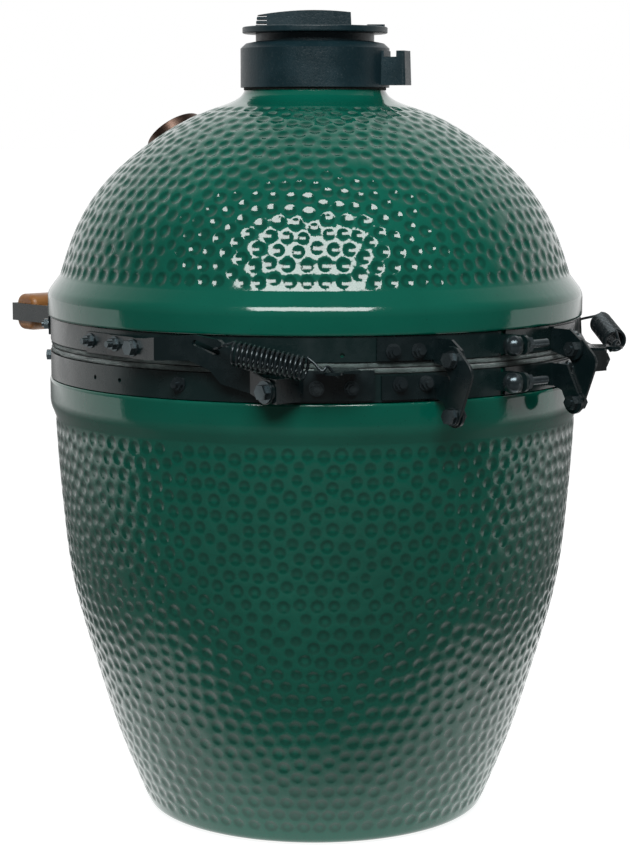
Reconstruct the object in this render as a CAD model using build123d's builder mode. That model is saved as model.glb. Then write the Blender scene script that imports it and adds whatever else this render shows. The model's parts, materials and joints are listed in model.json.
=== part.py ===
"""Kamado ceramic grill, built from its separate pieces.

Frame: origin on the body's vertical axis at floor level, +Z up, front (handle, thermometer,
draft door) toward -Y, hinge toward +Y. "right" pieces stand at +X, "left" pieces at -X.
Millimetres throughout.
"""
import os
from math import cos, radians, sin

from build123d import *

os.makedirs("parts", exist_ok=True)

# ---------------------------------------------------------------- driving dimensions
BODY_R = 273.0            # largest ceramic radius, at the dome skirt
SEAT_R = 267.0            # ceramic radius under the steel bands
RIM_IN_R = 245.0          # inner radius of both ceramic rims
BASE_RIM_Z = 476.0        # top of the base
DOME_RIM_Z = 487.0        # bottom of the dome
WALL = 24.0               # ceramic wall
FLOOR_Z = 30.0            # inside floor of the base

BAND_IN = 267.5
BAND_OUT = 270.3
LOWER_BAND = (450.0, 475.8)
UPPER_BAND = (487.4, 510.6)
BAND_GAP = 6.0            # opening of each band at the back
CLAMP_Y = 290.0           # axis of the clamp bolts behind the body
UPPER_CLAMP_Z = 498.5
LOWER_CLAMP_Z = 463.5
PLATE = 3.0               # bracket and link steel
PLATE_IN = BAND_OUT + 0.1     # plates that lie on a band
PLATE_OUT = PLATE_IN + PLATE

# hinge pivots in the Y-Z plane, all with axes along X
PIVOT_A = (60.0, 497.0)   # side arm on the upper band
PIVOT_B = (190.0, 462.5)  # side arm on the lower band
PIVOT_C = (287.0, 490.0)  # rear link on the upper band
PIVOT_D = (288.0, 438.0)  # rear link on the lower band
PIN_R = 4.0               # pivot bolt radius
SLOT_PIN_R = 3.5          # bolt at pivot A, which travels in the lug's slot
RUN_FIT = 0.05            # radial running fit of the pivots
LINK_X = 81.5             # inner face of the rear link
EAR_X = 78.0              # inner face of the rear ears
ARM_B_X = 222.6           # inner face of the side arm at pivot B
ARM_A_X = 274.6           # inner face of the side arm at pivot A
LUG_X = 271.0             # inner face of the upper side lug
LUG_BOLT_Y = 26.7         # rear bolt of the side lug
SLOT_Y = (-11.4, 11.5)    # travel of pin A in the lug slot
SLOT_Z = (-4.1, 1.5)
SLOT_PLAY = 0.4

SPRING_WIRE = 2.8
SPRING_R = 10.6           # mean coil radius
SPRING_FRONT = (246.0, 171.0, 498.0)
SPRING_REAR = (207.5, 226.0, 485.0)
ANCHOR = (187.5, 241.8, 477.5)   # tail of the spring under its flange
HOOK_SLOT = (143.0, 496.5)
SPRING_TURNS = 15

FLANGE_Z = 480.0          # underside of the spring flange

DOOR_SEAT = 200.0         # distance of the draft door's flat seat from the axis
DOOR_MID_Z = 76.0
DOOR_SEAT_HALF = 78.0
DRAFT_HALF_X = 42.0       # half size of the air passage
DRAFT_HALF_Z = 21.0

CAP_Z = 740.0             # underside of the cap's collar
CAP_R = 75.5
DISC_Z = 794.0            # underside of the cap's rotating disc
DISC_R = 73.5
VENT_COUNT = 5
VENT_R = 36.0             # circle of the vents in the collar and the disc
LUG_TURN = -29.0      # azimuth of the cap's lug, from the back toward +X
LEVER_TURN = -49.0    # azimuth that the damper's lever points to
LEVER = (-61.0, 36.0)  # ends of the damper's lever along its own line

THERMO_TURN = 12.0        # degrees that the thermometer sits off the front, toward +X
THERMO_AT = (176.0, 679.5)   # radius and height where its stem leaves the dome
THERMO_SLOPE = 51.0       # elevation of its axis

HANDLE_Z = 499.5
HANDLE_HALF = 140.0
HANDLE_Y = (-340.0, -305.0)
HANDLE_STRAP = 2.5


# ---------------------------------------------------------------- helpers
def radial_plane(azimuth, radius, z):
    """Plane on the body's surface, facing outward; azimuth counts from the back toward +X."""
    a = radians(azimuth)
    return Plane(
        origin=(radius * sin(a), radius * cos(a), z),
        x_dir=(cos(a), -sin(a), 0),
        z_dir=(sin(a), cos(a), 0),
    )


def side_plane(x):
    """Y-Z plane at the given X, facing +X; its sketch coordinates are (Y, Z)."""
    return Plane.YZ.offset(x)


def ring(r_in, r_out, z0, z1):
    """Flat-sided ring about the body axis, for use inside a BuildPart."""
    with BuildSketch(Plane.XY.offset(z0)) as face:
        Circle(r_out)
        Circle(r_in, mode=Mode.SUBTRACT)
    extrude(face.sketch, amount=z1 - z0)


def sector_face(r_in, r_out, az0, az1):
    """Ring sector between two azimuths, for use inside a BuildSketch on an XY plane."""
    with BuildLine() as edge:
        outer = CenterArc((0, 0), r_out, 90 - az1, az1 - az0)
        inner = CenterArc((0, 0), r_in, 90 - az1, az1 - az0)
        Line(outer @ 0, inner @ 0)
        Line(outer @ 1, inner @ 1)
    make_face(edge.edges())


def disc(plane, start, length, radius, mode=Mode.ADD):
    """Round slice of a fastener standing on a plane."""
    with BuildSketch(plane.offset(start)) as face:
        Circle(radius)
    extrude(face.sketch, amount=length, mode=mode)


def hex_slice(plane, start, length, across_flats, mode=Mode.ADD):
    """Hexagonal slice of a fastener standing on a plane."""
    with BuildSketch(plane.offset(start)) as face:
        RegularPolygon(radius=across_flats / 2, side_count=6, major_radius=False)
    extrude(face.sketch, amount=length, mode=mode)


def stud_with_nut(plane, radius=3.0, tail=6.0, washer_r=7.2, flats=10.0, inside=2.9):
    """Carriage bolt end that comes out through a plate: shank, washer and nut."""
    washer = 1.2
    nut = 4.6
    disc(plane, -inside, inside + washer + nut + tail, radius)
    disc(plane, 0, washer, washer_r)
    hex_slice(plane, washer, nut, flats)


def pivot_bolt(x0, x1, centre, washer_r=8.5, flats=13.0):
    """Pivot bolt along +X: washer and head outside x1, nut inside x0."""
    head = 5.3
    nut = 5.5
    washer = 1.4
    tail = 1.5
    axis = Plane(origin=(0, *centre), x_dir=(0, 1, 0), z_dir=(1, 0, 0))
    disc(axis, x0 - nut - tail, x1 - x0 + nut + tail + washer, PIN_R)
    disc(axis, x1, washer, washer_r)
    hex_slice(axis, x1 + washer, head, flats)
    hex_slice(axis, x0 - nut, nut, flats)


def save(part, name):
    """Label a finished piece and write its STEP file."""
    part.label = name
    export_step(part, f"parts/{name}.step")


def save_both(right_part, name):
    """Write a +X group of pieces and its mirror image as one node."""
    with BuildPart() as group:
        add(right_part)
        mirror(right_part, about=Plane.YZ)
    save(group.part, name)


def save_pair(right_part, name):
    """Write a +X piece and its mirror image at -X."""
    save(right_part, f"{name}_right")
    with BuildPart() as left:
        mirror(right_part, about=Plane.YZ)
    save(left.part, f"{name}_left")


# ---------------------------------------------------------------- ceramics
def make_base_shell():
    collar_r = 271.5
    collar_top = 449.0
    lip = 3.0
    with BuildPart() as shell:
        with BuildSketch(Plane.XZ):
            with BuildLine():
                Line((0, FLOOR_Z), (0, 0))
                Line((0, 0), (158, 0))
                ThreePointArc((158, 0), (171.5, 4), (178, 14))
                Spline((178, 14), (204.5, 80), (229.5, 160), (250.4, 240), (259.4, 312), (264.5, 376), (266.3, 409))
                Line((266.3, 409), (collar_r, 423))
                Line((collar_r, 423), (collar_r, collar_top - lip))
                RadiusArc((collar_r, collar_top - lip), (collar_r - lip, collar_top), -lip)
                Line((collar_r - lip, collar_top), (SEAT_R, collar_top))
                Line((SEAT_R, collar_top), (SEAT_R, BASE_RIM_Z))
                Line((SEAT_R, BASE_RIM_Z), (RIM_IN_R, BASE_RIM_Z))
                Line((RIM_IN_R, BASE_RIM_Z), (243, 420))
                Spline((243, 420), (236, 312), (226, 240), (205, 160), (181, 90), (160, 46))
                Line((160, 46), (140, FLOOR_Z))
                Line((140, FLOOR_Z), (0, FLOOR_Z))
            make_face()
        revolve(axis=Axis.Z)
        # flat seat and air passage of the draft door
        seat = Plane.XZ.offset(DOOR_SEAT)
        with BuildSketch(seat):
            with Locations((0, DOOR_MID_Z)):
                Rectangle(2 * DOOR_SEAT_HALF, 66)
        extrude(amount=-WALL)
        with BuildSketch(seat):
            with Locations((0, DOOR_MID_Z)):
                Rectangle(2 * DOOR_SEAT_HALF, 66)
        extrude(amount=40, mode=Mode.SUBTRACT)
        with BuildSketch(seat):
            with Locations((0, DOOR_MID_Z)):
                RectangleRounded(2 * DRAFT_HALF_X, 2 * DRAFT_HALF_Z, 6)
        extrude(amount=-60, mode=Mode.SUBTRACT)
    save(shell.part, "base_shell")


def thermometer_plane():
    """Plane square to the thermometer's stem, on the dome's surface."""
    turn = radians(THERMO_TURN)
    tilt = radians(THERMO_SLOPE)
    r, z = THERMO_AT
    return Plane(
        origin=(r * sin(turn), -r * cos(turn), z),
        x_dir=(cos(turn), sin(turn), 0),
        z_dir=(sin(turn) * cos(tilt), -cos(turn) * cos(tilt), sin(tilt)),
    )


def make_dome_shell():
    skirt_z = 511.0
    lip = 3.0
    neck_r = 70.0
    flue_r = 50.0
    neck_top = 768.0
    with BuildPart() as shell:
        with BuildSketch(Plane.XZ):
            with BuildLine():
                Line((RIM_IN_R, DOME_RIM_Z), (SEAT_R, DOME_RIM_Z))
                Line((SEAT_R, DOME_RIM_Z), (SEAT_R, skirt_z))
                Line((SEAT_R, skirt_z), (BODY_R - lip, skirt_z))
                RadiusArc((BODY_R - lip, skirt_z), (BODY_R, skirt_z + lip), -lip)
                Line((BODY_R, skirt_z + lip), (BODY_R, 535))
                Line((BODY_R, 535), (260.1, 552))
                Spline(
                    (260.1, 552), (246.2, 592), (229.4, 624), (202.8, 656), (163, 688), (122.5, 711.5), (97, 721)
                )
                ThreePointArc((97, 721), (80, 727), (72.6, 736.4))
                Line((72.6, 736.4), (neck_r, 737))
                Line((neck_r, 737), (neck_r, neck_top))
                Line((neck_r, neck_top), (flue_r, neck_top))
                Line((flue_r, neck_top), (flue_r, 712))
                Line((flue_r, 712), (82, 702))
                Spline((82, 702), (112, 691), (148, 669), (185, 638), (212, 604), (230, 568), (241, 530))
                Line((241, 530), (RIM_IN_R, DOME_RIM_Z))
            make_face()
        revolve(axis=Axis.Z)
        stem = thermometer_plane()
        with BuildSketch(stem.offset(-50)):
            Circle(5)
        extrude(amount=70, mode=Mode.SUBTRACT)
    save(shell.part, "dome_shell")


def make_fire_box():
    hole_count = 10
    hole_r = 8.0
    with BuildPart() as box:
        with BuildSketch(Plane.XZ):
            with BuildLine():
                Polyline(
                    (96, FLOOR_Z), (128, FLOOR_Z), (150, 72), (196, 290), (203, 334),
                    (180, 334), (174, 290), (130, 122), (122, 118), (122, 108), (96, 108), (96, FLOOR_Z),
                )
            make_face()
        revolve(axis=Axis.Z)
        # ash and air mouth toward the draft door
        with BuildSketch(Plane.XZ.offset(60)):
            with Locations((0, 62)):
                RectangleRounded(92, 56, 8)
        extrude(amount=110, mode=Mode.SUBTRACT)
        # air holes round the lower wall
        for i in range(hole_count):
            with BuildSketch(radial_plane(360 / hole_count * (i + 0.5), 100, 168)):
                Circle(hole_r)
            extrude(amount=100, mode=Mode.SUBTRACT)
    save(box.part, "fire_box")


def make_fire_ring():
    with BuildPart() as fire_ring:
        with BuildSketch(Plane.XZ):
            with BuildLine():
                Polyline((182, 334.2), (208, 334.2), (230, 446), (230, 451.8), (205, 451.8), (182, 345), (182, 334.2))
            make_face()
        revolve(axis=Axis.Z)
        notch_count = 3
        for i in range(notch_count):
            with BuildSketch(radial_plane(360 / notch_count * i + 60, 195, 451.8)):
                Rectangle(30, 16)
            extrude(amount=45, mode=Mode.SUBTRACT)
    save(fire_ring.part, "fire_ring")


def make_fire_grate():
    grate_r = 118.0
    z0 = 108.2
    thick = 9.0
    with BuildPart() as grate:
        ring(grate_r - 14.5, grate_r, z0, z0 + thick)
        with BuildSketch(Plane.XY.offset(z0)):
            Circle(grate_r - 14)
            with GridLocations(0, 15, 1, 13):
                Rectangle(2 * grate_r, 8, mode=Mode.SUBTRACT)
            Rectangle(12, 2 * grate_r - 26)
        extrude(amount=thick)
    save(grate.part, "fire_grate")


def make_cooking_grid():
    grid_r = 229.0
    rim = (5.4, 6.6)
    bar_r = 2.6
    mid_z = 455.6
    pitch = 16.0
    bars = 25
    cross_z = mid_z - 3.8
    with BuildPart() as grid:
        with BuildSketch(Plane.XZ):
            with Locations((grid_r, mid_z)):
                Rectangle(*rim)
        revolve(axis=Axis.Z)
        for i in range(bars):
            x = (i - (bars - 1) / 2) * pitch
            half = (grid_r**2 - x**2) ** 0.5
            with BuildSketch(Plane.XZ.offset(-half)):
                with Locations((x, mid_z)):
                    Circle(bar_r)
            extrude(amount=2 * half)
        for y in (-90.0, 90.0):
            with BuildSketch(side_plane(-176)):
                with Locations((y, cross_z)):
                    Circle(3.0)
            extrude(amount=352)
    save(grid.part, "cooking_grid")


# ---------------------------------------------------------------- bands, gaskets and clamps
def make_gaskets():
    felt_in = RIM_IN_R - 0.5
    felt_out = SEAT_R
    with BuildPart() as lower:
        ring(felt_in, felt_out, BASE_RIM_Z, 481.2)
    save(lower.part, "lower_gasket")
    with BuildPart() as upper:
        ring(felt_in, felt_out, 481.6, DOME_RIM_Z)
    save(upper.part, "upper_gasket")


def make_band(name, z0, z1, bolt_z, studs, holes):
    """Split steel band with turned-out ears at the back; studs and holes are (azimuth, z, radius)."""
    ear_t = 3.0
    ear_y = (BAND_IN - 1.0, 299.0)
    with BuildPart() as band:
        ring(BAND_IN, BAND_OUT, z0, z1)
        with Locations((0, BAND_OUT, (z0 + z1) / 2)):
            Box(BAND_GAP, 12, z1 - z0 + 2, mode=Mode.SUBTRACT)
        for side in (-1, 1):
            with BuildSketch(side_plane(side * (BAND_GAP / 2 + ear_t / 2) - ear_t / 2)):
                with Locations(((ear_y[0] + ear_y[1]) / 2, bolt_z)):
                    RectangleRounded(ear_y[1] - ear_y[0], 18, 6)
            extrude(amount=ear_t)
        with BuildSketch(Plane.XY.offset(z0 - 2)):
            Circle(BAND_IN)
        extrude(amount=z1 - z0 + 4, mode=Mode.SUBTRACT)
        with BuildSketch(side_plane(-12)):
            with Locations((CLAMP_Y, bolt_z)):
                Circle(PIN_R + RUN_FIT)
        extrude(amount=24, mode=Mode.SUBTRACT)
        if "upper" in name:
            with BuildSketch(side_plane(-300)):
                with Locations((LUG_BOLT_Y, 498)):
                    Circle(3.05)
            extrude(amount=600, mode=Mode.SUBTRACT)
        for azimuth, z, radius in studs + holes:
            with BuildSketch(radial_plane(azimuth, BAND_IN - 2, z)):
                Circle(radius)
            extrude(amount=6, mode=Mode.SUBTRACT)
    save(band.part, name)


def make_clamp_bolt(name, z):
    """Domed carriage bolt and nut that pull a band's ears together."""
    ear_face = BAND_GAP / 2 + 3.0
    y = CLAMP_Y
    head_r = 10.0
    with BuildPart() as bolt:
        with BuildSketch(Plane.XY.offset(z)):
            with BuildLine():
                Polyline(
                    (-38, y), (-38, y + PIN_R), (ear_face, y + PIN_R), (ear_face, y + head_r),
                    (ear_face + 3, y + head_r),
                )
                Spline(
                    (ear_face + 3, y + head_r), (ear_face + 8.2, y + 6.2), (ear_face + 10.4, y + 1.5),
                )
                Polyline((ear_face + 10.4, y + 1.5), (ear_face + 10.4, y), (-38, y))
            make_face()
        revolve(axis=Axis((0, y, z), (1, 0, 0)))
    save(bolt.part, f"{name}_bolt")
    with BuildPart() as nut:
        with BuildSketch(side_plane(-ear_face - 1.6)):
            with Locations((y, z)):
                Circle(9.5)
        extrude(amount=1.5)
        with BuildSketch(side_plane(-ear_face - 8.6)):
            with Locations((y, z)):
                RegularPolygon(radius=6.8, side_count=6, major_radius=False)
        extrude(amount=7.0)
        with BuildSketch(side_plane(-ear_face - 10)):
            with Locations((y, z)):
                Circle(PIN_R + RUN_FIT)
        extrude(amount=11, mode=Mode.SUBTRACT)
    save(nut.part, f"{name}_nut")


# ---------------------------------------------------------------- hinge brackets
def make_rear_bracket(name, z0, z1, az0, az1, ear_outline, pivot, bolt_azimuths, bolt_z):
    """Plate bolted on a band that turns out into an ear for one pivot of the rear link."""
    with BuildPart() as bracket:
        with BuildSketch(Plane.XY.offset(z0)):
            sector_face(PLATE_IN, PLATE_OUT, az0, az1)
        extrude(amount=z1 - z0)
        with BuildSketch(side_plane(EAR_X)):
            with BuildLine():
                Polyline(*ear_outline, close=True)
            make_face()
            with Locations(pivot):
                Circle(11)
        extrude(amount=PLATE)
        with BuildSketch(Plane.XY.offset(z0 - 30)):
            Circle(PLATE_IN)
        extrude(amount=z1 - z0 + 60, mode=Mode.SUBTRACT)
        with BuildSketch(side_plane(EAR_X - 2)):
            with Locations(pivot):
                Circle(PIN_R + RUN_FIT)
        extrude(amount=PLATE + 4, mode=Mode.SUBTRACT)
        for azimuth in bolt_azimuths:
            with BuildSketch(radial_plane(azimuth, BAND_OUT - 2, bolt_z)):
                Circle(3.05)
            extrude(amount=8, mode=Mode.SUBTRACT)
    save_pair(bracket.part, name)


def make_side_bracket():
    """Plate on the lower band with the side arm's pivot in front and the spring's flange on top."""
    leg_z = (452.0, 474.5)
    az_rear, az_front = 29.5, 44.0
    lug_x = ARM_B_X - 0.8 - PLATE
    with BuildPart() as bracket:
        with BuildSketch(Plane.XY.offset(leg_z[0])):
            sector_face(PLATE_IN, PLATE_OUT, az_rear, az_front)
        extrude(amount=FLANGE_Z - leg_z[0])
        # outward web and the pivot plate in front of it
        a = radians(az_front)
        start = (PLATE_OUT * sin(a), PLATE_OUT * cos(a))
        with BuildSketch(Plane.XY.offset(leg_z[0])):
            with BuildLine():
                Polyline(
                    (start[0] - 3, start[1] + 2.6), (lug_x + PLATE, 202), (lug_x + PLATE, 178), (lug_x, 178),
                    (lug_x, 199.4), (start[0] - 3, start[1] - 1), close=True,
                )
            make_face()
        extrude(amount=leg_z[1] - leg_z[0])
        with BuildSketch(Plane.XY.offset(leg_z[0] - 1)):
            Circle(PLATE_IN)
        extrude(amount=40, mode=Mode.SUBTRACT)
        with BuildSketch(Plane.XY.offset(FLANGE_Z)):
            sector_face(PLATE_IN, 300, 33, 41.2)
            with Locations((ANCHOR[0], ANCHOR[1])):
                Circle(9)
        extrude(amount=2.5)
        with BuildSketch(Plane.XY.offset(FLANGE_Z - 2)):
            with Locations((ANCHOR[0], ANCHOR[1])):
                Circle(2.6)
        extrude(amount=6, mode=Mode.SUBTRACT)
        with BuildSketch(side_plane(lug_x - 2)):
            with Locations(PIVOT_B):
                Circle(PIN_R + RUN_FIT)
        extrude(amount=PLATE + 4, mode=Mode.SUBTRACT)
        for azimuth in (40.7, 34.0):
            with BuildSketch(radial_plane(azimuth, BAND_OUT - 2, 463.7)):
                Circle(3.05)
            extrude(amount=8, mode=Mode.SUBTRACT)
    save_pair(bracket.part, "side_bracket")


def make_side_lug():
    """Plate on the upper band whose slot takes the front bolt of the side arm."""
    with BuildPart() as lug:
        with BuildSketch(Plane.XY.offset(486.4)):
            sector_face(PLATE_IN, PLATE_IN + 2.4, 86.5, 94.5)
        extrude(amount=20)
        with BuildSketch(side_plane(LUG_X)):
            with Locations((46, 496.2)):
                RectangleRounded(64, 19.6, 4)
        extrude(amount=2.4)
        slot_y = (PIVOT_A[0] + SLOT_Y[0] - SLOT_PIN_R - SLOT_PLAY, PIVOT_A[0] + SLOT_Y[1] + SLOT_PIN_R + SLOT_PLAY)
        slot_z = (PIVOT_A[1] + SLOT_Z[0] - SLOT_PIN_R - SLOT_PLAY, PIVOT_A[1] + SLOT_Z[1] + SLOT_PIN_R + SLOT_PLAY)
        with BuildSketch(side_plane(LUG_X - 3)):
            with Locations(((slot_y[0] + slot_y[1]) / 2, (slot_z[0] + slot_z[1]) / 2)):
                RectangleRounded(slot_y[1] - slot_y[0], slot_z[1] - slot_z[0], 2)
        extrude(amount=8, mode=Mode.SUBTRACT)
        with BuildSketch(radial_plane(92.9, BAND_OUT - 2, 498)):
            Circle(3.05)
        extrude(amount=8, mode=Mode.SUBTRACT)
        with BuildSketch(side_plane(BAND_OUT - 2)):
            with Locations((LUG_BOLT_Y, 498)):
                Circle(3.05)
        extrude(amount=8, mode=Mode.SUBTRACT)
    save_pair(lug.part, "side_lug")


# ---------------------------------------------------------------- hinge links, arms and springs
def make_rear_link():
    elbow = (299.5, 477.0)
    with BuildPart() as link:
        for near, near_r, far, far_r in ((PIVOT_C, 12.5, elbow, 13.5), (elbow, 13.5, PIVOT_D, 9.5)):
            with BuildSketch(side_plane(LINK_X)):
                with Locations(near):
                    Circle(near_r)
                with Locations(far):
                    Circle(far_r)
                make_hull()
            extrude(amount=PLATE)
        with BuildSketch(side_plane(LINK_X - 2)):
            with Locations(PIVOT_C, PIVOT_D):
                Circle(PIN_R + RUN_FIT)
        extrude(amount=PLATE + 4, mode=Mode.SUBTRACT)
        fillet(link.faces().sort_by(Axis.X)[-1].edges().filter_by(GeomType.LINE), 0.6)
    save_pair(link.part, "rear_link")


def make_side_arm():
    """Bent plate from pivot B up and forward to pivot A, with the spring's slot behind its peak."""
    top = (
        (50, 503), (56, 505.5), (79, 507), (107, 510.5), (126, 512), (144, 508), (151, 501), (154, 486),
        (172, 479), (190, 473.5),
    )
    bottom = ((190, 452), (178, 456.5), (146, 467.5), (137, 480), (121, 488.3), (62, 486.5), (50, 490))
    with BuildPart() as arm:
        with BuildSketch(Plane.XY.offset(440)):
            with BuildLine():
                Polyline(
                    (ARM_A_X, 40), (ARM_A_X, 92), (ARM_B_X, 168), (ARM_B_X, 210),
                    (ARM_B_X + PLATE, 210), (ARM_B_X + PLATE, 169), (ARM_A_X + PLATE, 93), (ARM_A_X + PLATE, 40),
                    close=True,
                )
            make_face()
        extrude(amount=80)
        with BuildSketch(side_plane(210)) as outline:
            with BuildLine():
                Polyline(*top, *bottom, close=True)
            make_face()
            fillet(outline.vertices(), 2)
            with Locations(PIVOT_B):
                Circle(11.5)
            with Locations(PIVOT_A):
                Circle(9.5)
        extrude(amount=80, mode=Mode.INTERSECT)
        with BuildSketch(side_plane(210)):
            with Locations(PIVOT_B):
                Circle(PIN_R + RUN_FIT)
            with Locations(PIVOT_A):
                Circle(SLOT_PIN_R + RUN_FIT)
            with Locations(Location((134.5, 500.5, 0), (0, 0, -27))):
                SlotOverall(24, 5.6)
        extrude(amount=80, mode=Mode.SUBTRACT)
    save_pair(arm.part, "side_arm")


def make_spring():
    """Extension spring: close helix between two hooked ends."""
    front = Vector(*SPRING_FRONT)
    rear = Vector(*SPRING_REAR)
    run = rear - front
    axis = run.normalized()
    pitch = run.length / SPRING_TURNS
    wire_r = SPRING_WIRE / 2
    with BuildPart() as spring:
        with BuildLine() as helix_path:
            Helix(pitch, run.length, SPRING_R, center=front, direction=axis)
        with BuildSketch(Plane(origin=helix_path.line @ 0, z_dir=helix_path.line % 0)):
            Circle(wire_r)
        sweep(path=helix_path.line, is_frenet=True)
        # front hook: from the coil's end in to the axis, forward and out through the arm's slot
        coil_start = helix_path.line @ 0
        out = (coil_start - front).normalized()
        tip = Vector(ARM_A_X - 16, HOOK_SLOT[0] - 1, HOOK_SLOT[1])
        with BuildLine() as front_path:
            FilletPolyline(
                coil_start, coil_start - out * 5 - axis * 4, front - axis * 10, tip,
                tip + Vector(-9, -3, -1), radius=2.4,
            )
        with BuildSketch(Plane(origin=front_path.line @ 0, z_dir=front_path.line % 0)):
            Circle(wire_r)
        sweep(path=front_path.line)
        # rear hook: round loop that drops through the hole in the flange
        coil_end = helix_path.line @ 1
        out = (coil_end - rear).normalized()
        drop = Vector(*ANCHOR)
        with BuildLine() as rear_path:
            FilletPolyline(
                coil_end, coil_end - out * 5 + axis * 3, rear + axis * 9 + Vector(0, 0, 4),
                drop + Vector(0, 0, 12), drop, radius=2.4,
            )
        with BuildSketch(Plane(origin=rear_path.line @ 0, z_dir=rear_path.line % 0)):
            Circle(wire_r)
        sweep(path=rear_path.line)
        disc(Plane(origin=drop, x_dir=(0, 1, 0), z_dir=(1, 0, 0)), -6, 8.5, wire_r + 0.05)
    save_pair(spring.part, "hinge_spring")


# ---------------------------------------------------------------- hinge fasteners
def make_pivot_bolts():
    """One bolt per pivot and side; the bolts at A ride on the side arms."""
    for name, centre, x0, x1 in (
        ("rear_link_top_bolt", PIVOT_C, EAR_X, LINK_X + PLATE),
        ("rear_link_bottom_bolt", PIVOT_D, EAR_X, LINK_X + PLATE),
    ):
        with BuildPart() as bolt:
            pivot_bolt(x0, x1, centre)
        save_pair(bolt.part, name)
    with BuildPart() as arm_bolt:
        pivot_bolt(ARM_B_X - 0.8 - PLATE, ARM_B_X + PLATE, PIVOT_B, washer_r=10.5)
    save_pair(arm_bolt.part, "side_arm_rear_bolt")
    with BuildPart() as slot_bolt:
        for start, length, radius in (
            (LUG_X - 2.6, ARM_A_X + PLATE - LUG_X + 2.6, SLOT_PIN_R),
            (LUG_X - 1.5, 1.2, 7.4),
            (ARM_A_X + PLATE, 1.4, 8.2),
        ):
            with BuildSketch(side_plane(start)):
                with Locations(PIVOT_A):
                    Circle(radius)
            extrude(amount=length)
        with BuildSketch(side_plane(ARM_A_X + PLATE + 1.4)):
            with Locations(PIVOT_A):
                RegularPolygon(radius=6.5, side_count=6, major_radius=False)
        extrude(amount=5.3)
    save_pair(slot_bolt.part, "side_arm_front_bolt")


def make_plate_bolts():
    """Studs and nuts that hold the brackets on the bands, one node per bracket."""
    on_plate = PLATE_OUT
    groups = (
        ("upper_bracket_bolts", ((25.8, 497.0), (20.6, 497.0)), on_plate, 3.5),
        ("lower_bracket_bolts", ((24.4, 466.5), (19.0, 466.5)), on_plate, 3.5),
        ("side_bracket_bolts", ((40.7, 463.7), (34.0, 463.7)), on_plate, 2.5),
        ("side_lug_front_bolts", ((92.9, 498.0),), PLATE_IN + 2.4, 4.5),
        ("lower_band_bolts", ((68.9, 464.2),), BAND_OUT, 4.5),
        ("lower_band_buttons", ((131.0, 468.0),), BAND_OUT, 0.5),
    )
    for name, places, face_r, tail in groups:
        inside = face_r - BAND_IN - 0.1
        with BuildPart() as bolts:
            for azimuth, z in places:
                plane = radial_plane(azimuth, face_r + 0.05, z)
                stud_with_nut(plane, tail=tail, inside=inside)
        save_both(bolts.part, name)
    with BuildPart() as lug_bolt:
        face = Plane(origin=(LUG_X + 2.45, LUG_BOLT_Y, 498), x_dir=(0, 1, 0), z_dir=(1, 0, 0))
        stud_with_nut(face, tail=4.5, inside=LUG_X + 2.4 - BAND_IN - 0.1)
    save_both(lug_bolt.part, "side_lug_rear_bolts")


# ---------------------------------------------------------------- handle
def make_handle():
    depth = HANDLE_Y[1] - HANDLE_Y[0]
    mid_y = (HANDLE_Y[0] + HANDLE_Y[1]) / 2
    with BuildPart() as grip:
        with BuildSketch(side_plane(-HANDLE_HALF)):
            with Locations((mid_y, HANDLE_Z)):
                RectangleRounded(depth, 39, 11)
        extrude(amount=2 * HANDLE_HALF)
        fillet(grip.faces().sort_by(Axis.X)[0].edges(), 6)
        fillet(grip.faces().sort_by(Axis.X)[-1].edges(), 6)
        for x in (-HANDLE_HALF + 14, HANDLE_HALF - 14):
            with BuildSketch(Plane.XZ.offset(-HANDLE_Y[0])):
                with Locations((x, HANDLE_Z)):
                    Circle(2.55)
            extrude(amount=-26, mode=Mode.SUBTRACT)
    save(grip.part, "handle_grip")
    # flat strap: front lip, run along the grip's end, flange that follows the band
    face = HANDLE_HALF + 0.3
    flange_az = (180 - 52.0, 180 - 30.8)
    meet = radians(flange_az[1])
    inner = PLATE_IN
    meet_y = inner * cos(meet)
    with BuildPart() as strap:
        with BuildSketch(Plane.XY.offset(HANDLE_Z - 9.5)):
            with Locations((face + HANDLE_STRAP / 2, (HANDLE_Y[0] - HANDLE_STRAP + meet_y) / 2)):
                Rectangle(HANDLE_STRAP, meet_y - HANDLE_Y[0] + HANDLE_STRAP)
            with Locations((face + HANDLE_STRAP - 14, HANDLE_Y[0] - HANDLE_STRAP / 2)):
                Rectangle(28, HANDLE_STRAP)
            sector_face(PLATE_IN, PLATE_IN + HANDLE_STRAP, *flange_az)
        extrude(amount=19)
        with BuildSketch(Plane.XY.offset(HANDLE_Z - 12)):
            Circle(PLATE_IN)
        extrude(amount=24, mode=Mode.SUBTRACT)
        with BuildSketch(Plane.XZ.offset(-HANDLE_Y[0] - 2)):
            with Locations((HANDLE_HALF - 14, HANDLE_Z)):
                Circle(2.55)
        extrude(amount=8, mode=Mode.SUBTRACT)
        for azimuth in (131.5, 143.0):
            with BuildSketch(radial_plane(azimuth, BAND_OUT - 2, HANDLE_Z)):
                Circle(3.05)
            extrude(amount=8, mode=Mode.SUBTRACT)
    save_pair(strap.part, "handle_bracket")
    with BuildPart() as screws:
        for azimuth in (131.5, 143.0):
            plane = radial_plane(azimuth, PLATE_IN + HANDLE_STRAP + 0.05, HANDLE_Z)
            stud_with_nut(plane, tail=2.5, washer_r=6.5, inside=HANDLE_STRAP + 2.8)
        front = Plane.XZ.offset(-HANDLE_Y[0] + HANDLE_STRAP + 0.05)
        lip_screw = Plane(origin=front.from_local_coords((HANDLE_HALF - 14, HANDLE_Z, 0)), z_dir=(0, -1, 0))
        disc(lip_screw, -24, 24, 2.5)
        disc(lip_screw, 0, 1.0, 6.0)
        disc(lip_screw, 1.0, 2.2, 4.6)
    save_both(screws.part, "handle_bolts")


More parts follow.
